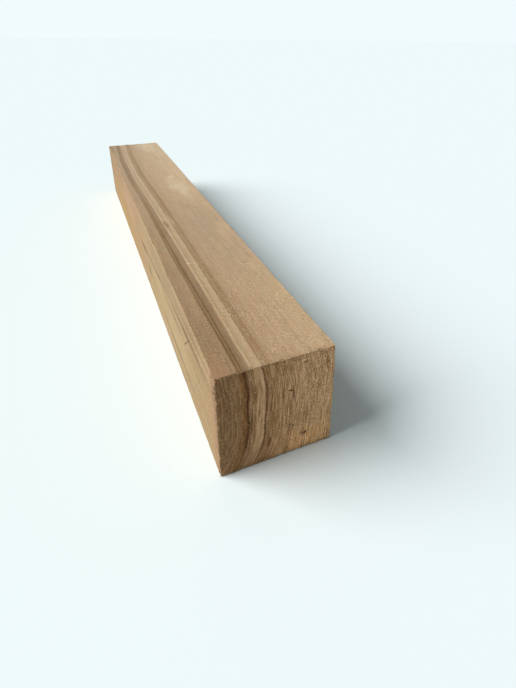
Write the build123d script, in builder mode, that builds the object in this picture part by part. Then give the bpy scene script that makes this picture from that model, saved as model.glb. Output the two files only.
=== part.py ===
"""Sawn wooden bar: one piece of solid square stock, cut to length.

The bar lies on one long face. Its origin is the centre of that face, X runs along the grain and Z is up.
Units are millimetres.
"""

import os

from build123d import *

# Driving dimensions
bar_length = 600.0
bar_width = 75.0
bar_height = 75.0
arris_radius = 0.8  # long edges, rubbed down after sawing
end_bevel = 0.5  # edges of the two crosscut ends, broken by hand

# The section, square to the grain, runs the length of the bar
with BuildPart() as wooden_bar:
    with BuildSketch(Plane.YZ.offset(-bar_length / 2)):
        with Locations((0, bar_height / 2)):
            RectangleRounded(bar_width, bar_height, arris_radius)
    extrude(amount=bar_length)

    # Both crosscut ends lose their sharp edge all the way round
    end_faces = wooden_bar.faces().filter_by(Axis.X)
    chamfer(end_faces.edges(), end_bevel)

wooden_bar.part.label = "wooden_bar"

os.makedirs("parts", exist_ok=True)
export_step(wooden_bar.part, "parts/wooden_bar.step")
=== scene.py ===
"""Looks of the sawn wooden bar: rough-sawn faces, growth rings and end grain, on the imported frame.

X runs along the grain and +X is the end in front. The heart of the tree lay beyond -Y, and Z is up.
Blender works in metres, so small sizes are written as a number times mm.
"""

import math

import bpy
import numpy as np
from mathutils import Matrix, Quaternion, Vector


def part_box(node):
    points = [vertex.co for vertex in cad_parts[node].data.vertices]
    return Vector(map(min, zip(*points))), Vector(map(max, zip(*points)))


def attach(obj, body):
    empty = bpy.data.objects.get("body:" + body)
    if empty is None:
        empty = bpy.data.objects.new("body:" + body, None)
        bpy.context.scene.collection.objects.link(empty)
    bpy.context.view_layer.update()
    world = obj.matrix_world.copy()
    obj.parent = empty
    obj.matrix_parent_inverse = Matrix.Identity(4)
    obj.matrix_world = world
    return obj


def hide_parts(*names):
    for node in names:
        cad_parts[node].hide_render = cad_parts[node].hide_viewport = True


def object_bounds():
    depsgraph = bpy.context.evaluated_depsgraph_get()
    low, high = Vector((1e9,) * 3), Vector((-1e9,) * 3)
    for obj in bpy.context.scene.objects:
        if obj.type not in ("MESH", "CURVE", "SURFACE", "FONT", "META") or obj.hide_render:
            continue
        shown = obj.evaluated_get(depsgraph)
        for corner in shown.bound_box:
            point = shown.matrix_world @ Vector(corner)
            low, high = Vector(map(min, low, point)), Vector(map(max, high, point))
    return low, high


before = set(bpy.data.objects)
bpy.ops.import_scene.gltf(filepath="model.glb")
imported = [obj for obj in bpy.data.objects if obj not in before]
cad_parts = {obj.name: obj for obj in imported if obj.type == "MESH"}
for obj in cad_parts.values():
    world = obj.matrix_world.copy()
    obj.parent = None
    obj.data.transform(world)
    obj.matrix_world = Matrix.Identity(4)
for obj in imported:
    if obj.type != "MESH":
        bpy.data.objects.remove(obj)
cad_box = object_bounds()
heart_face_y = cad_box[0].y
near_end_x = cad_box[1].x
mm = 0.001

# Camera: close in front of the near end, a little to its heart side, looking down along the bar
image_width = 516
image_height = 688
lens_axis_x = 290  # pixel that the lens points straight at
lens_axis_y = 250
focal_pixels = 458.7
sensor_long_side = 36.0
camera_place = Vector((489 * mm, -82 * mm, 241 * mm))
camera_turn = math.radians(65.0)
camera_dip = math.radians(25.2)
camera_roll = math.radians(0.9)

# Light: soft daylight, a weak even fill from all round, and one pale colour behind and below
sun_strength = 4.0
sun_spread = math.radians(50)
sun_colour = (1.0, 0.99, 0.97)
sun_towards = Vector((0.30, 0.80, -0.66))
fill_strength = 0.22
backdrop_colour = (0.88, 0.965, 0.985, 1.0)

# Mesh of the bar: stations along each axis, closest together in the arrises and at the ends
arris = 0.8 * mm
arris_steps = 3
steps_along = 160
steps_across = 84
steps_up = 84
end_zone = 24 * mm  # length at each end with stations closer together
end_zone_steps = 22
skin_gap = 0.02  # every point lies at least this many millimetres inside the box
end_facing = 0.75  # share of X in the outward direction from which a point belongs to an end
bake_ends = 0.25  # share of the bake map's height for the two ends
bake_margin = 0.004

# Growth rings: the pith lies outside the bar, and the rings wander along its length
pith_y = -257.5 * mm
pith_z = 48.75 * mm
pith_to_face = 220 * mm
ring_wander = [  # place along the bar and sideways shift of the rings there, in millimetres
    (-300, -2.2),
    (-200, -6.6),
    (-100, -7.3),
    (0, -4.3),
    (75, -3.2),
    (180, -2.5),
    (300, 0.5),
]
wander_smoothing = 50 * mm
upper_swell = 0.7 * mm
upper_swing = 1.0 * mm
lower_swing = 4.3 * mm
first_ring_bulge = 0.8 * mm
strip_widening = 1.3 * mm
grain_waver = 0.6 * mm

# Places across the rings, in millimetres of depth from the heart-side face
first_ring_middle = 19.0
strip_border = 23.1
strip_middle = 26.5
second_ring_middle = 32.5
hard_rings = [(17.6, 1.8, 1.0), (29.6, 0.8, 0.7)]  # depth, width and share of the ridge that each makes

# Wear of the edges: how far the wood is rubbed, chipped and torn away
least_radius = 0.25 * mm
chipped_radius = 4.5 * mm
dip_depth = 1.2 * mm
notch_depth = 1.8 * mm
tear_depth = 1.7 * mm

# Pits in the near end: place (y, z), half sizes, lean in degrees and depth, in millimetres
end_pits = [
    (18.3, 12.7, 1.7, 1.5, 0, 0.9),
    (-5.6, 15.0, 0.9, 5.0, -11, 0.6),
    (18.0, 68.4, 1.5, 1.2, 0, 0.7),
    (10.4, 47.3, 0.9, 4.0, 0, 0.2),
    (9.2, 22.8, 1.4, 1.3, 0, 0.5),
]

# Torn fibres: how many stand on each end, along each edge and on the upper face
fibres_on_end = 380
fibres_on_long_edge = 70
fibres_on_cross_edge = 45
fibres_on_top = 240
top_fibre_reach = 260 * mm  # how far from the near end they lie on the upper face


def value_noise(points, cell, seed):
    """Smooth noise from -1 to 1 at each point, with bumps about one cell (x, y, z) apart."""
    cells = 64  # the lattice repeats after this many
    lattice = np.random.default_rng(seed).uniform(-1, 1, (cells, cells, cells))
    scaled = points / np.array(cell)
    base = np.floor(scaled).astype(int)
    part = scaled - base
    ease = part * part * (3 - 2 * part)
    total = np.zeros(len(points))
    for corner in np.ndindex(2, 2, 2):
        weight = np.prod(np.where(corner, ease, 1 - ease), axis=1)
        i, j, k = ((base + corner) % cells).T
        total += weight * lattice[i, j, k]
    return total


def bell(value, middle, width):
    """1 where value is at the middle, falling smoothly to about 0 two widths away."""
    return np.exp(-(((value - middle) / width) ** 2))


def ring_depth(points):
    """Distance outward across the growth rings in millimetres, about 0 on the heart-side face."""
    x, y, z = points.T
    margin = 0.1  # metres past each end
    samples = 801
    fine_x = np.linspace(cad_box[0].x - margin, cad_box[1].x + margin, samples)
    knots = np.array(ring_wander)
    straight = np.interp(fine_x, knots[:, 0] * mm, knots[:, 1] * mm)
    window = int(wander_smoothing / (fine_x[1] - fine_x[0]))
    smooth = np.convolve(np.pad(straight, window, mode="edge"), np.ones(window) / window, mode="same")
    shift = np.interp(x, fine_x, smooth[window:-window])
    depth = np.hypot(y - pith_y, z - pith_z) - pith_to_face - shift

    # The rings swell outward above half height and swing inward near the upper and lower edges;
    # the lower swing fades towards the sap side and turns outward there
    depth = depth - upper_swell * bell(z, 57 * mm, 6 * mm)
    depth = depth + upper_swing * np.clip((z - 62 * mm) / (13 * mm), 0, 1) ** 2
    swing_share = np.interp(y, (-5 * mm, 18 * mm), (1.0, -0.35))
    depth = depth + lower_swing * swing_share * np.clip(1 - z / (22 * mm), 0, 1) ** 2

    # The first dark ring bulges below half height, and the pale strip beyond it widens along the way
    depth = depth - first_ring_bulge * bell(depth, 18 * mm, 6 * mm) * bell(z, 31 * mm, 8 * mm)
    beyond = np.clip((depth - 18.5 * mm) / (4 * mm), 0, 1)
    depth = depth - strip_widening * beyond * bell(x, 150 * mm, 85 * mm)

    # Slow wavering of the grain
    depth = depth + grain_waver * value_noise(points, (110 * mm, 22 * mm, 26 * mm), 11)
    return depth / mm


def stations(low, high, steps, zone=0.0, zone_steps=0):
    """Places from low to high: tight in the two arrises, close in the end zones, even between."""
    angles = np.linspace(0, math.pi / 4, arris_steps + 1)
    rounded = arris * np.tan(angles)
    inner_low = low + arris
    inner_high = high - arris
    middle = np.linspace(inner_low + zone, inner_high - zone, steps + 1)
    if zone_steps:
        spread = zone * np.linspace(0, 1, zone_steps + 1)[:-1] ** 1.5
        middle = np.concatenate([inner_low + spread, middle, (inner_high - spread)[::-1]])
    return np.concatenate([(inner_low - rounded)[:0:-1], middle, (inner_high + rounded)[1:]])


def edge_radius(points):
    """Local radius of the broken edges: mostly small, with worn stretches and a few chips."""
    worn = value_noise(points, (38 * mm, 21 * mm, 21 * mm), 21)
    small = value_noise(points, (9 * mm, 5 * mm, 5 * mm), 22)
    chips = np.clip(value_noise(points, (14 * mm, 7 * mm, 7 * mm), 23) - 0.62, 0, 1)
    rubbed = np.clip(arris * (0.75 + 0.4 * worn + 0.3 * small), least_radius, None)
    return rubbed + chipped_radius * chips


def edge_bites(points, to_edge, to_end):
    """Wood torn off along the edges, deepest where the saw came out at the two ends."""
    broad = value_noise(points, (9 * mm, 6.5 * mm, 6.5 * mm), 24)
    fine = value_noise(points, (2.6 * mm, 1.7 * mm, 2.4 * mm), 25)
    torn = np.clip(0.15 + 0.4 * broad + 0.6 * fine, 0, None)
    at_end = np.exp(-to_end / (4 * mm))
    chips = (0.4 + 0.5 * at_end) * mm * torn * bell(to_edge, 0, 1.1 * mm)

    # Longer shallow dips make the upper edges of the ends waver
    upper = np.exp(-(cad_box[1].z - points[:, 2]) / (5 * mm))
    waver = np.clip(0.35 + value_noise(points, (30 * mm, 10 * mm, 10 * mm), 26), 0, None)
    dips = dip_depth * at_end * upper * waver * bell(to_edge, 0, 2.2 * mm)

    # The upright arris on the heart side of the near end is notched all the way down
    away = np.hypot(points[:, 0] - near_end_x, points[:, 1] - heart_face_y)
    notch = np.clip(value_noise(points, (4 * mm, 4 * mm, 1.9 * mm), 27), 0, None)
    notches = notch_depth * notch * bell(away, 0, 1.6 * mm)

    # The upper edge on the heart side is torn in short stretches towards the near end
    away = np.hypot(points[:, 1] - heart_face_y, cad_box[1].z - points[:, 2])
    stretch = np.clip(value_noise(points, (11 * mm, 5 * mm, 5 * mm), 28) - 0.1, 0, None)
    nearness = np.interp(points[:, 0], (60 * mm, 220 * mm), (0.0, 1.0))
    tears = tear_depth * nearness * stretch * bell(away, 0, 1.8 * mm)
    return chips + dips + notches + tears


def surface_relief(points, depth, on_end):
    """How far each point is sunk into the bar, in metres: scoring, grain ridges, torn patches and pits."""
    # Faces along the grain, in millimetres
    grain = np.stack([points[:, 0], depth * mm, points[:, 2]], axis=1)
    ridges = value_noise(grain, (70 * mm, 1.9 * mm, 1.9 * mm), 31)
    scoring = value_noise(points, (5.5 * mm, 40 * mm, 40 * mm), 32)
    sway = value_noise(points, (90 * mm, 30 * mm, 30 * mm), 33)
    long_face = 0.2 + 0.05 * ridges + 0.035 * scoring + 0.08 * sway
    hard_ring = sum(share * bell(depth, middle, width) for middle, width, share in hard_rings)
    long_face = long_face - 0.07 * hard_ring

    # Crosscut ends, in millimetres
    teeth = value_noise(grain, (90 * mm, 2.6 * mm, 30 * mm), 34)
    tears = np.clip(value_noise(grain, (90 * mm, 3.2 * mm, 6.0 * mm), 35) - 0.35, 0, 1)
    tilt = value_noise(points, (90 * mm, 25 * mm, 40 * mm), 36)
    end_face = 0.35 + 0.08 * teeth + 0.3 * tears + 0.15 * tilt - 0.08 * hard_ring

    # The knot and the torn slits in the near end are sunk
    near_end = points[:, 0] > 0
    for y, z, half_y, half_z, lean, sunk in end_pits:
        aside = points[:, 1] - y * mm + math.tan(math.radians(lean)) * (points[:, 2] - z * mm)
        inside = (aside / (half_y * mm)) ** 2 + ((points[:, 2] - z * mm) / (half_z * mm)) ** 2
        end_face = end_face + near_end * sunk * np.exp(-inside)
    return mm * np.clip(np.where(on_end, end_face, long_face), skin_gap, None)


def box_skin(axes):
    """Six grids over a box: grid numbers of their points, quads, bake map and which quads lie on an end."""
    counts = [len(places) for places in axes]
    shares = [(places - places[0]) / (places[-1] - places[0]) for places in axes]
    strip_height = (1 - bake_ends) / 4
    numbers, quads, uvs, on_ends = [], [], [], []
    strip = 0
    start = 0
    for axis in range(3):
        first, second = [a for a in range(3) if a != axis]
        shape = (counts[first], counts[second])
        for side in range(2):
            grid = np.empty((3, *shape), int)
            grid[axis] = side * (counts[axis] - 1)
            grid[first], grid[second] = np.indices(shape)
            numbers.append(grid.reshape(3, -1).T)

            # The corners of a quad run so that it faces outward
            place = start + np.arange(grid[axis].size).reshape(shape)
            start += place.size
            ring = [place[:-1, :-1], place[1:, :-1], place[1:, 1:], place[:-1, 1:]]
            if (side == 1) == (axis == 1):
                ring = ring[::-1]
            quads.append(np.stack(ring, axis=-1).reshape(-1, 4))
            on_ends.append(np.full(len(quads[-1]), axis == 0))

            # Each face has its own rectangle of the bake map: four strips, and the two ends above them
            if axis == 0:
                corner, size = (0.5 * side, 1 - bake_ends), (0.5, bake_ends)
            else:
                corner, size = (0.0, strip_height * strip), (1.0, strip_height)
                strip += 1
            u = corner[0] + bake_margin + shares[first] * (size[0] - 2 * bake_margin)
            v = corner[1] + bake_margin + shares[second] * (size[1] - 2 * bake_margin)
            uvs.append(np.stack(np.meshgrid(u, v, indexing="ij"), axis=-1).reshape(-1, 2))
    return [np.concatenate(part) for part in (numbers, quads, uvs, on_ends)]


def bar_mesh(low, high):
    """The bar's skin as one closed mesh of six grids that share their edges."""
    axes = [
        stations(low.x, high.x, steps_along, end_zone, end_zone_steps),
        stations(low.y, high.y, steps_across),
        stations(low.z, high.z, steps_up),
    ]
    numbers, quads, uvs, on_ends = box_skin(axes)
    uvs = uvs[quads]

    # Grid points that two or three faces share become one vertex
    key = (numbers[:, 0] * len(axes[1]) + numbers[:, 1]) * len(axes[2]) + numbers[:, 2]
    kept, back = np.unique(key, return_index=True, return_inverse=True)[1:]
    corners = np.stack([axes[a][numbers[kept, a]] for a in range(3)], axis=1)
    quads = back[quads]

    # The sharp box is rounded with the local edge radius, then sunk by the relief
    low = np.array(low)
    high = np.array(high)
    radius = edge_radius(corners)[:, None]
    core = np.clip(corners, low + radius, high - radius)
    outward = corners - core
    outward /= np.linalg.norm(outward, axis=1, keepdims=True)
    points = core + outward * radius
    depth = ring_depth(points)
    on_end = np.abs(outward[:, 0]) > end_facing
    inside = np.minimum(corners - low, high - corners)
    to_edge = np.sort(inside, axis=1)[:, 1]
    sunk = surface_relief(points, depth, on_end) + edge_bites(corners, to_edge, inside[:, 0])
    points = points - outward * sunk[:, None]

    mesh = bpy.data.meshes.new("sawn_bar")
    mesh.from_pydata(points, [], quads.tolist())
    mesh.uv_layers.new(name="OFBake").data.foreach_set("uv", uvs.astype(np.float32).ravel())
    mesh.polygons.foreach_set("material_index", on_ends.astype(np.int32))
    for name, values in (("ring_depth", depth), ("to_edge", to_edge / mm)):
        mesh.attributes.new(name, "FLOAT", "POINT").data.foreach_set("value", values.astype(np.float32))
    mesh.shade_smooth()
    return mesh


def end_fibres(chance, low, high):
    """Roots, reaches and widths of the fibres on both ends: upright, and thickest towards the sapwood."""
    count = fibres_on_end
    for end, outward in ((high[0], 1), (low[0], -1)):
        width = chance.uniform(0.12, 0.32, count) * mm
        y = high[1] - (high[1] - low[1]) * chance.random(count) ** 1.5
        z = chance.uniform(low[2], high[2], count)
        root = np.stack([np.full(count, end - outward * 0.75 * mm), y, z], axis=1)
        angle = chance.normal(math.pi / 2, 0.6, count)
        length = chance.uniform(0.8, 2.6, count) * mm * chance.choice([-1, 1], count)
        lift = np.full(count, outward * 0.68 * mm)
        reach = np.stack([lift, length * np.cos(angle), length * np.sin(angle)], axis=1)
        yield root, reach, width


def edge_fibres(chance, low, high):
    """Roots, reaches and widths of the fibres along all twelve edges, pointing out across the edge."""
    for axis in range(3):
        count = fibres_on_long_edge if axis == 0 else fibres_on_cross_edge
        others = [a for a in range(3) if a != axis]
        for toward in ((-1, -1), (-1, 1), (1, -1), (1, 1)):
            width = chance.uniform(0.09, 0.2, count) * mm
            root = np.empty((count, 3))
            reach = np.empty((count, 3))
            root[:, axis] = chance.uniform(low[axis], high[axis], count)
            reach[:, axis] = chance.uniform(-2.4, 2.4, count) * mm
            for other, way in zip(others, toward):
                face = high[other] if way > 0 else low[other]
                sunk = chance.uniform(0.5, 1.1, count) * mm
                root[:, other] = face - way * sunk
                reach[:, other] = way * sunk * chance.uniform(0.5, 0.95, count)
            yield root, reach, width


def top_fibres(chance, low, high):
    """Roots, reaches and widths of the fibres on the upper face: along the grain, most near the front."""
    count = fibres_on_top
    width = chance.uniform(0.09, 0.2, count) * mm
    x = high[0] - top_fibre_reach * chance.random(count) ** 1.7
    y = chance.uniform(low[1], high[1], count)
    root = np.stack([x, y, np.full(count, high[2] - 0.45 * mm)], axis=1)
    run = chance.uniform(1.0, 2.6, count) * mm * chance.choice([-1, 1], count)
    stray = chance.normal(0, 0.4, count) * mm
    reach = np.stack([run, stray, np.full(count, 0.4 * mm)], axis=1)
    yield root, reach, width


def fibre_mesh(low, high):
    """Fibres torn up by the saw: slender closed slivers rooted in the ends, edges and upper face."""
    chance = np.random.default_rng(41)
    low = np.array(low)
    high = np.array(high)
    groups = []
    for torn in (end_fibres, edge_fibres, top_fibres):
        groups.extend(torn(chance, low, high))
    roots, reaches, widths = [np.concatenate(part) for part in zip(*groups)]
    widths = widths[:, None]
    bends = chance.normal(0, 0.25, len(roots))[:, None] * mm

    # Each sliver has three triangular rings and a tip
    ahead = reaches / np.linalg.norm(reaches, axis=1, keepdims=True)
    slanting = (0.31, 0.52, 0.80)  # any direction that is not along a fibre
    aside = np.cross(ahead, slanting)
    aside /= np.linalg.norm(aside, axis=1, keepdims=True)
    upward = np.cross(ahead, aside)
    points = []
    for share, taper in ((0.0, 1.0), (0.45, 0.8), (0.8, 0.45)):
        middle = roots + reaches * share + aside * bends * share**2
        for turn in (0, 2 * math.pi / 3, 4 * math.pi / 3):
            points.append(middle + widths * taper * (aside * math.cos(turn) + upward * math.sin(turn)))
    points.append(roots + reaches + aside * bends)
    points = np.clip(np.stack(points, axis=1), low + skin_gap * mm, high - skin_gap * mm)
    sliver = [(0, 2, 1)]
    for start in (0, 3):
        for k in range(3):
            after = (k + 1) % 3
            sliver.append((start + k, start + after, start + after + 3, start + k + 3))
    sliver += [(6, 7, 9), (7, 8, 9), (8, 6, 9)]
    starts = range(0, points.shape[0] * points.shape[1], points.shape[1])
    faces = [[start + corner for corner in face] for start in starts for face in sliver]

    mesh = bpy.data.meshes.new("torn_fibres")
    mesh.from_pydata(points.reshape(-1, 3), [], faces)
    mesh.shade_smooth()
    return mesh


class Finish:
    """A material being made: each method adds nodes and gives the socket that carries the result."""

    def __init__(self, name):
        self.material = bpy.data.materials.new(name)
        self.material.use_nodes = True
        self.tree = self.material.node_tree
        self.shader = self.tree.nodes["Principled BSDF"]
        self.place = self.add("ShaderNodeTexCoord", output="Object")

    def add(self, kind, inputs=None, output=0, **settings):
        node = self.tree.nodes.new(kind)
        for name, value in settings.items():
            setattr(node, name, value)
        for name, value in (inputs or {}).items():
            self.feed(node.inputs[name], value)
        return node.outputs[output]

    def feed(self, socket, value):
        if isinstance(value, bpy.types.NodeSocket):
            self.tree.links.new(value, socket)
        else:
            socket.default_value = value

    def maths(self, operation, first, second=0.0):
        return self.add("ShaderNodeMath", {0: first, 1: second}, operation=operation)

    def times(self, first, second):
        return self.maths("MULTIPLY", first, second)

    def away(self, value, middle):
        """How far value is from the middle, on either side."""
        return self.maths("ABSOLUTE", self.maths("SUBTRACT", value, middle))

    def attribute(self, name):
        return self.add("ShaderNodeAttribute", output="Fac", attribute_name=name)

    def along(self, axis):
        return self.add("ShaderNodeSeparateXYZ", {0: self.place}, output=axis)

    def grain_place(self):
        """Place with the depth across the rings instead of Y, so that a pattern follows the rings."""
        depth = self.times(self.attribute("ring_depth"), mm)
        inputs = {"X": self.along("X"), "Y": depth, "Z": self.along("Z")}
        return self.add("ShaderNodeCombineXYZ", inputs)

    def span(self, value, start, stop, to_start=0.0, to_stop=1.0):
        """Goes smoothly from to_start to to_stop while value goes from start to stop."""
        inputs = {
            "Value": value,
            "From Min": start,
            "From Max": stop,
            "To Min": to_start,
            "To Max": to_stop,
        }
        return self.add("ShaderNodeMapRange", inputs, interpolation_type="SMOOTHSTEP")

    def noise(self, place, cell, seed, detail=2.0, output=0):
        """Noise around 0.5 with bumps about one cell (x, y, z) in millimetres apart."""
        fineness = [1 / (size * mm) for size in cell]
        scaled = self.add("ShaderNodeVectorMath", {0: place, 1: fineness}, operation="MULTIPLY")
        inputs = {"Vector": scaled, "W": seed, "Scale": 1.0, "Detail": detail}
        return self.add("ShaderNodeTexNoise", inputs, output, noise_dimensions="4D")

    def lines(self, value, spacing, detail=2.0):
        """Noise that changes with value alone, about one spacing apart."""
        inputs = {"W": self.maths("DIVIDE", value, spacing), "Scale": 1.0, "Detail": detail}
        return self.add("ShaderNodeTexNoise", inputs, noise_dimensions="1D")

    def pushed(self, place, cell, seed, reach):
        """Place moved about by noise with bumps one cell apart, by up to about reach, in millimetres."""
        noise = self.noise(place, cell, seed, output="Color")
        middle = self.add("ShaderNodeVectorMath", {0: noise, 1: (0.5, 0.5, 0.5)}, operation="SUBTRACT")
        wide = [4 * size * mm for size in reach]
        return self.add("ShaderNodeVectorMath", {0: middle, 1: wide, 2: place}, operation="MULTIPLY_ADD")

    def spot(self, place, centre, half_size, turn, core):
        """A soft spot: 1 at the core of an ellipsoid (sizes in millimetres), 0 outside it."""
        inputs = {
            "Vector": place,
            "Location": [c * mm for c in centre],
            "Rotation": [math.radians(t) for t in turn],
            "Scale": [h * mm for h in half_size],
        }
        inside = self.add("ShaderNodeMapping", inputs, vector_type="TEXTURE")
        away = self.add("ShaderNodeVectorMath", {0: inside}, output="Value", operation="LENGTH")
        return self.span(away, core, 1.0, 1.0, 0.0)

    def mix(self, share, first, second, blend="MIX"):
        """First colour going over to the second by share."""
        inputs = {0: share, 6: first, 7: second}  # by number, because the names of these sockets repeat
        return self.add("ShaderNodeMix", inputs, output=2, data_type="RGBA", blend_type=blend)

    def lighten(self, colour, change):
        """Colour lighter by the share change, or darker below 0: light wood is paler, dark wood browner."""
        inputs = {0: change, 1: (0.8, 1.0, 1.3), 2: (1.0, 1.0, 1.0)}
        factors = self.add("ShaderNodeVectorMath", inputs, operation="MULTIPLY_ADD")
        return self.add("ShaderNodeVectorMath", {0: colour, 1: factors}, operation="MULTIPLY")

    def ramp(self, value, top, stops):
        """Colour by value, from (place, colour) stops between 0 and top."""
        share = self.maths("DIVIDE", value, top)
        node = self.tree.nodes.new("ShaderNodeValToRGB")
        self.feed(node.inputs[0], share)
        elements = node.color_ramp.elements
        while len(elements) < len(stops):
            elements.new(0.5)
        for element, (place, colour) in zip(elements, stops):
            element.position = place / top
            element.color = colour
        return node.outputs[0]

    def bump(self, *weighted):
        """Normal for the sum of (height, millimetres) pairs."""
        parts = [self.times(height, size) for height, size in weighted]
        total = parts[0]
        for part in parts[1:]:
            total = self.maths("ADD", total, part)
        return self.add("ShaderNodeBump", {"Height": total, "Distance": mm, "Strength": 1.0})

    def done(self, colour, roughness, gloss, normal=None):
        """The material, with its shader fed."""
        fed = {"Base Color": colour, "Roughness": roughness, "Specular IOR Level": gloss, "Normal": normal}
        for name, value in fed.items():
            if value is not None:
                self.feed(self.shader.inputs[name], value)
        return self.material


def paint(red, green, blue):
    """Linear colour of screen values from 0 to 255."""
    scaled = np.array((red, green, blue)) / 255
    linear = np.where(scaled <= 0.04045, scaled / 12.92, ((scaled + 0.055) / 1.055) ** 2.4)
    return (*linear, 1.0)


# Wood tones by depth in millimetres from the heart-side face: heart, first dark ring, pale strip,
# second dark ring, then the wide even wood out to the sap side
ring_reach = 80.0  # depth of the last tone
long_tones = [
    (0.0, paint(153, 125, 91)),
    (15.0, paint(162, 134, 99)),
    (15.7, paint(106, 77, 43)),
    (16.3, paint(118, 88, 54)),
    (16.9, paint(144, 115, 80)),
    (17.4, paint(130, 100, 66)),
    (18.0, paint(104, 75, 42)),
    (18.8, paint(138, 109, 77)),
    (22.3, paint(152, 124, 93)),
    (23.1, paint(192, 165, 129)),
    (23.8, paint(188, 160, 124)),
    (24.7, paint(164, 136, 101)),
    (25.6, paint(187, 159, 123)),
    (29.5, paint(189, 161, 125)),
    (30.2, paint(134, 103, 67)),
    (31.0, paint(164, 134, 98)),
    (33.4, paint(158, 128, 93)),
    (34.1, paint(138, 107, 72)),
    (34.8, paint(165, 135, 100)),
    (37.0, paint(177, 147, 113)),
    (44.0, paint(186, 155, 121)),
    (60.0, paint(191, 161, 126)),
    (80.0, paint(201, 171, 134)),
]
# The end tones are painted lighter and warmer than the wood, to make up for the cool shade on the near end
end_tones = [
    (0.0, paint(140, 106, 69)),
    (14.2, paint(146, 111, 74)),
    (15.2, paint(142, 101, 60)),
    (17.2, paint(130, 90, 50)),
    (18.2, paint(92, 58, 28)),
    (18.9, paint(98, 64, 33)),
    (19.7, paint(146, 110, 75)),
    (23.4, paint(164, 126, 88)),
    (24.2, paint(194, 152, 111)),
    (28.7, paint(196, 154, 114)),
    (29.3, paint(118, 82, 49)),
    (29.8, paint(122, 86, 53)),
    (30.8, paint(162, 122, 83)),
    (38.0, paint(181, 138, 98)),
    (56.0, paint(194, 151, 108)),
    (80.0, paint(205, 161, 116)),
]

# Single marks: centre, half sizes, turn (millimetres and degrees), core of the spot, tone, strength
long_patches_and_shade = [
    ((90, 18, 75), (160, 36, 4), (0, 0, 0), 0.2, paint(172, 149, 124), 0.6),
    ((215, -32, 75), (60, 9, 4), (0, 0, 0), 0.2, paint(180, 150, 116), 0.4),
    ((-240, 30, 75), (90, 16, 4), (0, 0, 0), 0.1, paint(210, 189, 160), 0.6),
    ((-41, 17.5, 75), (60, 12, 4), (0, 0, 2), 0.35, paint(214, 194, 163), 0.7),
    ((-92, 17.5, 75), (13, 7, 4), (0, 0, 0), 0.3, paint(214, 192, 166), 0.7),
    ((-278, 17, 75), (72, 19, 4), (0, 0, 0), 0.1, paint(218, 199, 164), 0.75),
    ((-150, -37.5, 18), (230, 14, 42), (0, 3, 0), 0.1, paint(161, 130, 83), 0.85),
    # Painted shade: the next patch darkens the far end of the heart-side face to an olive grey
    ((-295, -37.5, 55), (75, 14, 46), (0, 0, 0), 0.1, paint(132, 115, 86), 0.6),
    ((-60, -37.5, 58), (110, 14, 26), (0, 0, 0), 0.1, paint(164, 132, 104), 0.5),
    ((205, -37.5, 32), (75, 14, 15), (0, 0, 0), 0.1, paint(170, 146, 109), 0.6),
    ((170, -37.5, 64), (130, 14, 15), (0, -2, 0), 0.1, paint(144, 120, 91), 0.75),
    ((276, -37.5, 37), (26, 14, 13), (0, 0, 0), 0.1, paint(168, 136, 92), 0.5),
]
long_streaks = [
    ((155, -24.6, 75), (95, 2.4, 3), (0, 0, 1.2), 0.3, paint(112, 83, 48), 0.6),
    ((-265, -26, 75), (50, 3.0, 3), (0, 0, -2), 0.2, paint(124, 98, 68), 0.5),
    ((72, -18.0, 75), (13, 2.8, 3), (0, 0, 5), 0.3, paint(122, 95, 68), 0.85),
    ((41, -37.5, 41.7), (38, 4, 4.4), (0, -5, 0), 0.2, paint(112, 91, 58), 0.95),
    ((118, -37.5, 49.2), (72, 4, 3.3), (0, -5.0, 0), 0.3, paint(116, 94, 61), 0.9),
    ((232, -37.5, 57.6), (90, 4, 3.0), (0, -3.5, 0), 0.3, paint(112, 90, 58), 0.95),
    ((250, -37.5, 67), (66, 4, 2.0), (0, -2, 0), 0.3, paint(122, 98, 65), 0.75),
    ((180, -37.5, 45.4), (52, 4, 2.0), (0, -1, 0), 0.3, paint(118, 95, 62), 0.9),
    ((67, -37.5, 28), (12, 4, 7), (0, 20, 0), 0.1, paint(102, 84, 54), 0.95),
    ((90, -37.5, 24), (34, 4, 3.0), (0, 9, 0), 0.1, paint(128, 106, 72), 0.6),
    ((190, -37.5, 18.4), (96, 4, 3.2), (0, 0, 0), 0.2, paint(120, 97, 64), 0.65),
]
long_nicks = [
    ((60, -12.0, 75), (27, 2.7, 3), (0, 0, 5), 0.2, paint(190, 163, 131), 0.75),
    ((92, -19.0, 75), (12, 1.0, 3), (0, 0, 4), 0.2, paint(214, 188, 156), 0.7),
    ((161.5, -14.5, 75), (6.5, 0.7, 2), (0, 0, 70), 0.2, paint(222, 197, 162), 0.6),
    ((160.0, -17.8, 75), (2.2, 1.3, 2), (0, 0, 20), 0.3, paint(230, 206, 172), 0.75),
    ((232, 28, 75), (3.6, 0.8, 2), (0, 0, -40), 0.3, paint(230, 206, 172), 0.75),
    ((231, -37.5, 52), (19, 4, 0.8), (0, -40, 0), 0.6, paint(90, 70, 46), 0.75),
]
end_patches_and_light = [
    # Painted light: the first patch paints the lower corner on the sap side lighter and warmer, to make up
    # for the shade that the bar casts on the floor in front of it
    ((300, 20.0, 8.0), (40, 33, 17), (0, 0, 0), 0.1, paint(248, 190, 131), 0.75),
    ((300, -18.0, 4.0), (40, 22, 13), (0, 0, 0), 0.1, paint(168, 128, 86), 0.65),
    ((300, 30.0, 66.0), (40, 24, 16), (0, 0, 0), 0.1, paint(186, 140, 100), 0.6),
    ((300, 0.0, 12.0), (40, 15, 12), (0, 0, 0), 0.2, paint(177, 133, 92), 0.6),
    ((300, 4.0, 69.0), (40, 15, 9), (0, 0, 0), 0.1, paint(158, 116, 76), 0.25),
]
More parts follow.
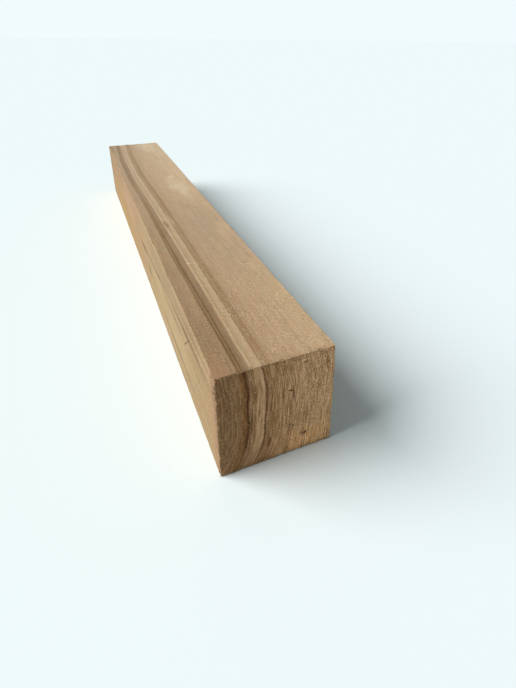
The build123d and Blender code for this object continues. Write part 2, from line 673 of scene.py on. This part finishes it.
end_marks = [
    ((300, -5.6, 15.0), (40, 1.2, 6.4), (-11, 0, 0), 0.4, paint(108, 72, 39), 0.8),
    ((300, 8.5, 50.6), (40, 2.7, 0.7), (-15, 0, 0), 0.6, paint(104, 68, 37), 0.9),
    ((300, 10.4, 47.3), (40, 0.6, 4.6), (0, 0, 0), 0.6, paint(104, 68, 37), 0.85),
    ((300, 8.4, 23.6), (40, 1.1, 1.2), (30, 0, 0), 0.4, paint(108, 72, 40), 0.8),
    ((300, 10.2, 22.0), (40, 1.0, 1.0), (0, 0, 0), 0.4, paint(108, 72, 40), 0.8),
    ((300, 18.0, 68.4), (40, 1.7, 1.2), (0, 0, 0), 0.3, paint(104, 70, 38), 0.8),
    ((300, 16.3, 70.7), (40, 1.6, 1.0), (20, 0, 0), 0.3, paint(232, 200, 158), 0.85),
    ((300, 18.4, 12.6), (40, 4.4, 3.4), (0, 0, 0), 0.2, paint(166, 114, 76), 0.5),
    ((300, 15.6, 14.0), (40, 2.6, 0.9), (-15, 0, 0), 0.2, paint(120, 80, 48), 0.5),
    ((300, 18.3, 12.7), (40, 2.0, 1.8), (10, 0, 0), 0.4, paint(92, 55, 30), 0.95),
]


def ring_colour(finish, tones, wander, contrast):
    """Growth-ring colour, with the lines pushed about by wander in millimetres and faint rings between."""
    depth = finish.maths("ADD", finish.attribute("ring_depth"), wander)
    colour = finish.ramp(depth, ring_reach, tones)
    narrow = finish.lines(depth, 1.8)
    colour = finish.lighten(colour, finish.span(narrow, 0.3, 0.7, -contrast, contrast))

    # In and beside the two dark rings the lines are closer and stronger
    by_first = finish.span(finish.away(depth, first_ring_middle), 3.0, 4.5, 1.0, 0.0)
    by_second = finish.span(finish.away(depth, second_ring_middle), 2.5, 4.0, 1.0, 0.0)
    close = finish.span(finish.lines(depth, 0.8), 0.3, 0.7, -0.13, 0.13)
    return finish.lighten(colour, finish.times(close, finish.maths("ADD", by_first, by_second)))


def add_marks(finish, colour, marks, place, presence=1.0):
    """Colour with the single marks laid over it, weaker where presence is low."""
    for centre, half_size, turn, core, tone, strength in marks:
        share = finish.times(finish.spot(place, centre, half_size, turn, core), strength)
        colour = finish.mix(finish.times(share, presence), colour, tone)
    return colour


def rings_along(finish, x, depth):
    """Ring colour of the long faces."""
    wavering = finish.noise(finish.place, (60, 5, 5), 1.0)
    colour = ring_colour(finish, long_tones, finish.span(wavering, 0.2, 0.8, -0.35, 0.35), 0.05)

    # Away from the near end the heart wood and the dark rings are lighter, and all of it cooler
    within = finish.span(depth, 30.0, 36.0, 1.0, 0.0)
    heart = finish.times(finish.span(depth, 14.5, 17.0, 1.0, 0.5), within)
    lighter = finish.times(heart, finish.span(x, -60 * mm, 270 * mm, 0.62, 0.0))
    colour = finish.mix(lighter, colour, paint(182, 154, 122))
    cooler = finish.span(x, -300 * mm, 250 * mm, 1.0, 0.0)
    colour = finish.mix(cooler, colour, (1.09, 1.17, 1.32, 1.0), "MULTIPLY")

    # A bright hairline borders the pale strip, up to where the wood roughens: paler wood, with a painted
    # highlight along its raised torn edge
    smooth = finish.span(x, 170 * mm, 240 * mm, 1.0, 0.0)
    border = finish.times(finish.span(finish.away(depth, strip_border), 0.2, 0.7, 0.7, 0.0), smooth)
    return finish.mix(border, colour, paint(207, 182, 148))


def heart_face(finish, colour, grain, x, side):
    """The heart-side face: creamy, and darker and more orange towards the far end; the darkening is painted
    shade.
    """
    far = finish.span(x, -60 * mm, 110 * mm, 1.0, 0.0)
    cream = finish.mix(far, paint(160, 135, 99), paint(150, 116, 79))
    colour = finish.mix(finish.times(side, 0.85), colour, cream)

    # Broad bands run along it near the end, yellowish and brownish by turns
    bands = finish.noise(grain, (75, 2.5, 3.5), 18.0, 1.0)
    banded = finish.mix(finish.span(bands, 0.36, 0.64), (0.89, 0.87, 0.83, 1.0), (1.07, 1.09, 1.07, 1.0))
    shown = finish.times(side, finish.span(x, 0.0, 200 * mm))
    return finish.mix(shown, colour, banded, "MULTIPLY")


def clouds_and_marks(finish, colour, grain):
    """Slow pinkish and greenish areas, then the single patches, streaks and nicks."""
    place = finish.place
    pink = finish.noise(place, (120, 30, 30), 2.0, 1.0)
    colour = finish.mix(finish.span(pink, 0.5, 0.75, 0.0, 0.2), colour, paint(192, 161, 132))
    green = finish.noise(place, (150, 26, 26), 3.0, 1.0)
    colour = finish.mix(finish.span(green, 0.52, 0.75, 0.0, 0.25), colour, paint(170, 150, 116))
    flush = finish.noise(place, (11, 5, 5), 7.0, 1.0)
    tint = finish.mix(finish.span(flush, 0.35, 0.65), (0.98, 1.015, 1.025, 1.0), (1.02, 0.985, 0.975, 1.0))
    colour = finish.mix(1.0, colour, tint, "MULTIPLY")
    patch_place = finish.pushed(place, (60, 20, 20), 23.0, (20, 4, 4))
    colour = add_marks(finish, colour, long_patches_and_shade, patch_place)
    streak_place = finish.pushed(place, (34, 9, 7), 25.0, (3, 0, 1.1))
    broken = finish.span(finish.noise(grain, (22, 1.0, 1.2), 24.0), 0.36, 0.56, 0.35, 1.0)
    colour = add_marks(finish, colour, long_streaks, streak_place, broken)
    return add_marks(finish, colour, long_nicks, place)


def near_end_wear(finish, colour, x, depth, side):
    """What the saw tore at the near end, and the rubbed edges."""
    place = finish.place

    # Close to the near end the heart wood is torn, granular and reddish
    in_heart = finish.span(depth, 14.0, 16.0, 1.0, 0.3)
    heart_end = finish.times(in_heart, finish.span(x, near_end_x - 120 * mm, near_end_x - 50 * mm))
    grains = finish.noise(place, (1.8, 0.65, 0.65), 10.0, 1.0)
    reddened = finish.times(heart_end, finish.span(grains, 0.46, 0.66, 0.0, 0.55))
    colour = finish.mix(reddened, colour, paint(132, 97, 65))
    heart_side = finish.span(depth, 8.0, 15.0, 1.0, 0.0)
    at_end = finish.span(x, near_end_x - 18 * mm, near_end_x - 3 * mm, 0.0, 0.45)
    last = finish.times(heart_side, at_end)
    colour = finish.mix(last, colour, paint(166, 124, 92))

    # Edges are rubbed paler, and the arris at the near end is torn and reddish
    rubbed = finish.span(finish.attribute("to_edge"), 0.3, 1.6, 0.1, 0.0)
    colour = finish.lighten(colour, rubbed)
    upper_side = finish.times(side, finish.span(finish.along("Z"), 35 * mm, 62 * mm, 0.3, 0.75))
    front = finish.times(upper_side, finish.span(x, near_end_x - 11 * mm, near_end_x - 2 * mm))
    colour = finish.mix(front, colour, paint(148, 115, 88))
    notches = finish.noise(place, (6, 6, 1.6), 19.0, 1.0)
    torn = finish.times(front, finish.span(notches, 0.51, 0.58, 0.0, 1.2))
    return finish.mix(torn, colour, paint(78, 55, 35))


def long_grain():
    """Sawn faces along the grain."""
    finish = Finish("long_grain")
    place = finish.place
    grain = finish.grain_place()
    x = finish.along("X")
    depth = finish.attribute("ring_depth")
    side = finish.span(finish.along("Y"), heart_face_y + 0.4 * mm, heart_face_y + 1.2 * mm, 1.0, 0.0)
    colour = rings_along(finish, x, depth)
    colour = heart_face(finish, colour, grain, x, side)
    colour = clouds_and_marks(finish, colour, grain)

    # Fibre lines along the grain, a sawn nap that is roughest near the end, and slanting saw marks
    fibres = finish.noise(grain, (40, 1.0, 1.4), 4.0, 3.0)
    cracks = finish.noise(grain, (26, 0.8, 1.0), 5.0, 1.0)
    blotches = finish.noise(place, (10, 4, 4), 9.0, 2.0)
    nap = finish.noise(place, (1.3, 0.6, 0.6), 8.0, 2.0)
    flecks = finish.noise(place, (2.2, 0.9, 0.9), 6.0, 1.0)
    slant = finish.add(
        "ShaderNodeVectorMath", {0: place, 1: (0.81, -0.59, -0.59)}, output="Value", operation="DOT_PRODUCT"
    )
    saw = finish.lines(slant, 1.5 * mm)
    patchy = finish.span(finish.noise(place, (16, 9, 9), 20.0, 1.0), 0.35, 0.65, 0.45, 1.2)
    roughened = finish.times(patchy, finish.span(x, 40 * mm, 270 * mm, 0.15, 1.0))
    sawn = finish.times(finish.span(saw, 0.25, 0.75, -0.08, 0.08), roughened)
    for pattern in (fibres, blotches):
        colour = finish.lighten(colour, finish.span(pattern, 0.25, 0.75, -0.05, 0.05))
    colour = finish.lighten(colour, sawn)
    # The nap is painted darker in its hollows, a painted shade, and paler on its raised fibres and torn-up
    # flecks, partly the paler fibre and partly a painted highlight
    nap_hollow_shade = finish.times(finish.span(nap, 0.25, 0.5, -0.32, 0.0), roughened)
    colour = finish.lighten(colour, nap_hollow_shade)
    pale_fibre_and_highlight_zone = finish.times(finish.span(depth, 22.0, 26.0, 0.25, 1.0), roughened)
    raised_and_highlight = finish.times(finish.span(nap, 0.5, 0.75, 0.0, 0.65), pale_fibre_and_highlight_zone)
    colour = finish.mix(raised_and_highlight, colour, paint(220, 196, 162))
    opened = finish.times(finish.span(cracks, 0.62, 0.78, 0.0, 0.4), roughened)
    colour = finish.mix(opened, colour, paint(112, 84, 58))
    torn_up_and_highlight = finish.times(finish.span(flecks, 0.62, 0.74, 0.0, 0.7), pale_fibre_and_highlight_zone)
    colour = finish.mix(torn_up_and_highlight, colour, paint(228, 204, 170))

    colour = near_end_wear(finish, colour, x, depth, side)
    pits = finish.span(cracks, 0.62, 0.78)
    rough = finish.times(nap, roughened)
    normal = finish.bump((fibres, 0.1), (rough, 0.2), (saw, 0.06), (pits, -0.1))
    return finish.done(colour, finish.span(nap, 0.25, 0.75, 0.75, 0.9), 0.25, normal)


def end_grain():
    """The two crosscut ends."""
    finish = Finish("end_grain")
    place = finish.place
    grain = finish.grain_place()
    wavering = finish.noise(place, (90, 2.5, 4), 11.0)
    colour = ring_colour(finish, end_tones, finish.span(wavering, 0.2, 0.8, -0.45, 0.45), 0.06)
    # End patches; the first of them is painted light in the lower sap-side corner
    colour = add_marks(finish, colour, end_patches_and_light, place)

    # The near end's tones are painted lighter and warmer for its cool shade; the far end faces the sun and
    # is painted duller to undo that, with half the contrast
    near = finish.span(finish.along("X"), -200 * mm, 200 * mm, 0.45, 1.0)
    colour = finish.mix(finish.span(near, 0.45, 1.0, 1.0, 0.0), colour, (0.74, 0.78, 0.84, 1.0), "MULTIPLY")

    # Hairlines and broken streaks follow the rings; dark ones are open and brown
    sap = finish.times(finish.span(finish.along("Y"), -8 * mm, 30 * mm), near)
    hairs = finish.noise(grain, (90, 0.5, 10), 12.0, 1.0)
    streaks = finish.noise(grain, (90, 1.1, 26), 15.0, 1.0)
    gaps = finish.noise(grain, (90, 0.6, 12), 16.0, 0.0)
    pores = finish.noise(place, (90, 0.7, 0.8), 13.0, 1.0)
    upper = finish.span(finish.along("Z"), 45 * mm, 70 * mm, 0.6, 1.1)
    from_strip = finish.away(finish.attribute("ring_depth"), strip_middle)
    calm = finish.span(from_strip, 2.0, 4.0, 0.45, 1.0)
    clear = finish.mix(sap, calm, upper)
    drawn = finish.times(finish.span(hairs, 0.3, 0.7, -0.4, 0.4), clear)
    broad = finish.span(streaks, 0.3, 0.7, -0.12, 0.12)
    grainy = finish.times(finish.span(pores, 0.25, 0.75, -0.36, 0.36), calm)
    for change in (drawn, broad, grainy):
        colour = finish.lighten(colour, finish.times(change, near))
    opened = finish.times(finish.span(gaps, 0.58, 0.7, 0.0, 0.55), near)
    colour = finish.mix(opened, colour, paint(116, 76, 43))

    # Torn pale tufts, thickest towards the sapwood: paler fibre, partly a painted highlight on the raised
    # tufts
    tufts = finish.noise(place, (90, 0.7, 1.5), 14.0, 1.0)
    torn = finish.times(sap, finish.span(tufts, 0.57, 0.69, 0.0, 0.9))
    colour = finish.mix(torn, colour, paint(238, 208, 168))
    frayed = finish.span(finish.attribute("to_edge"), 0.3, 2.0, 0.45, 0.0)
    colour = finish.mix(frayed, colour, paint(186, 148, 108))
    mark_place = finish.pushed(place, (90, 2, 2), 17.0, (0, 0.35, 0.35))
    colour = add_marks(finish, colour, end_marks, mark_place)

    cuts = finish.span(gaps, 0.58, 0.7)
    normal = finish.bump((hairs, 0.1), (pores, 0.1), (tufts, 0.12), (cuts, -0.12))
    return finish.done(colour, finish.span(hairs, 0.25, 0.75, 0.8, 0.95), 0.2, normal)


def loose_fibre():
    """Pale wood fibre, torn and dry."""
    finish = Finish("loose_fibre")
    tone = finish.noise(finish.place, (7, 7, 7), 21.0)
    colour = finish.mix(finish.span(tone, 0.35, 0.65), paint(160, 126, 90), paint(204, 172, 130))
    # At the ends, towards the sapwood, the fibres are painted paler: partly their own pale colour and
    # partly a painted highlight that makes them stand out lit against the shaded end grain
    from_middle = finish.maths("ABSOLUTE", finish.along("X"))
    at_end = finish.span(from_middle, near_end_x - 1.2 * mm, near_end_x - 0.6 * mm)
    sap = finish.span(finish.along("Y"), -15 * mm, 8 * mm, 0.0, 0.7)
    colour = finish.mix(finish.times(at_end, sap), colour, paint(232, 200, 158))
    strands = finish.noise(finish.place, (1.5, 0.2, 0.2), 22.0)
    normal = finish.bump((strands, 0.03))
    return finish.done(colour, finish.span(tone, 0.3, 0.7, 0.8, 0.95), 0.2, normal)


def pale_floor():
    """A wide plain floor under the bar."""
    reach = 20.0
    mesh = bpy.data.meshes.new("floor")
    corners = [(-reach, -reach, 0), (reach, -reach, 0), (reach, reach, 0), (-reach, reach, 0)]
    mesh.from_pydata(corners, [], [(0, 1, 2, 3)])
    mesh.materials.append(Finish("floor_paper").done(backdrop_colour, 0.9, 0.0))
    floor = bpy.data.objects.new("floor", mesh)
    bpy.context.scene.collection.objects.link(floor)


def studio_light():
    """Soft daylight from the heart side and behind, and a weak even fill from all round."""
    lamp = bpy.data.lights.new("window", "SUN")
    lamp.energy = sun_strength
    lamp.angle = sun_spread
    lamp.color = sun_colour
    window = bpy.data.objects.new("window", lamp)
    window.rotation_mode = "QUATERNION"
    window.rotation_quaternion = sun_towards.to_track_quat("-Z", "Y")
    bpy.context.scene.collection.objects.link(window)

    # The camera sees the backdrop as bright as the floor; the light that it gives is weaker
    world = bpy.data.worlds.new("studio")
    world.use_nodes = True
    nodes = world.node_tree.nodes
    links = world.node_tree.links
    background = nodes["Background"]
    background.inputs["Color"].default_value = backdrop_colour
    path = nodes.new("ShaderNodeLightPath")
    strength = nodes.new("ShaderNodeMapRange")
    strength.inputs["To Min"].default_value = fill_strength
    strength.inputs["To Max"].default_value = 1.0
    links.new(path.outputs["Is Camera Ray"], strength.inputs["Value"])
    links.new(strength.outputs[0], background.inputs["Strength"])
    bpy.context.scene.world = world


def photo_camera():
    """The camera at the photograph's viewing angle."""
    data = bpy.data.cameras.new("camera")
    data.sensor_width = sensor_long_side
    data.lens = focal_pixels / image_height * sensor_long_side
    data.shift_x = (image_width / 2 - lens_axis_x) / image_height
    data.shift_y = (lens_axis_y - image_height / 2) / image_height
    data.clip_start = 10 * mm
    camera = bpy.data.objects.new("camera", data)
    forward = Vector((
        -math.sin(camera_turn) * math.cos(camera_dip),
        math.cos(camera_turn) * math.cos(camera_dip),
        -math.sin(camera_dip),
    ))
    level = forward.to_track_quat("-Z", "Y")
    camera.rotation_mode = "QUATERNION"
    camera.rotation_quaternion = level @ Quaternion((0, 0, 1), camera_roll)
    camera.location = camera_place
    bpy.context.scene.collection.objects.link(camera)
    bpy.context.scene.camera = camera


# The bar, and the fibres torn up from it
bar_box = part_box("wooden_bar")
bar = bpy.data.objects.new("sawn_bar", bar_mesh(*bar_box))
bar.data.materials.append(long_grain())
bar.data.materials.append(end_grain())
fibres = bpy.data.objects.new("torn_fibres", fibre_mesh(*bar_box))
fibres.data.materials.append(loose_fibre())
for piece in (bar, fibres):
    bpy.context.scene.collection.objects.link(piece)
    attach(piece, "root")
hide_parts("wooden_bar")

# What stands round it
pale_floor()
studio_light()
photo_camera()
bpy.context.scene.view_settings.view_transform = "Standard"
